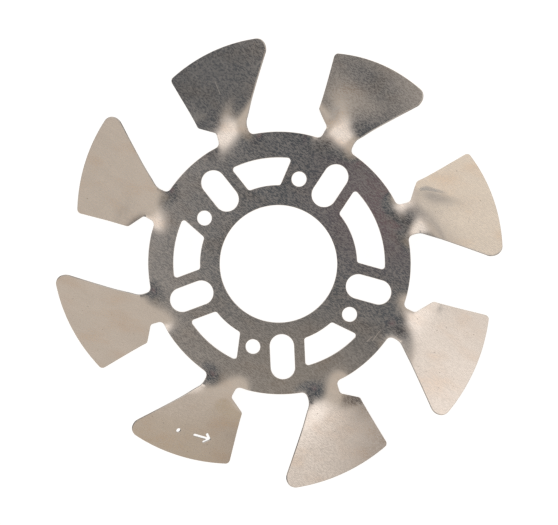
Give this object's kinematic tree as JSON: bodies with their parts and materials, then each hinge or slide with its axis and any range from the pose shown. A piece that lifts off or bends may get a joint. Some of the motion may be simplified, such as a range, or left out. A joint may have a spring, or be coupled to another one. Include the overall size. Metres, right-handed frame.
{
  "type": "cooling fan plate",
  "caption": "Flat sheet-metal ring with a large centre bore and radial stud slots, carrying twisted radial blades that blow air past a brake when the wheel turns.",
  "frame": {"origin": "centre of the bore, on the ring's seating face", "axes": "+Z along the bore's axis, out of the face opposite the seating face; +X through the middle of the widest window, which is the line of symmetry of the ring's openings"},
  "size_m": [0.2541, 0.254, 0.041],
  "materials": {
    "sheet_metal": "mill-rolled, lightly scuffed, half-bright"
  },
  "bodies": {
    "root": {"fan_plate": "sheet_metal"}
  },
  "joints": []
}
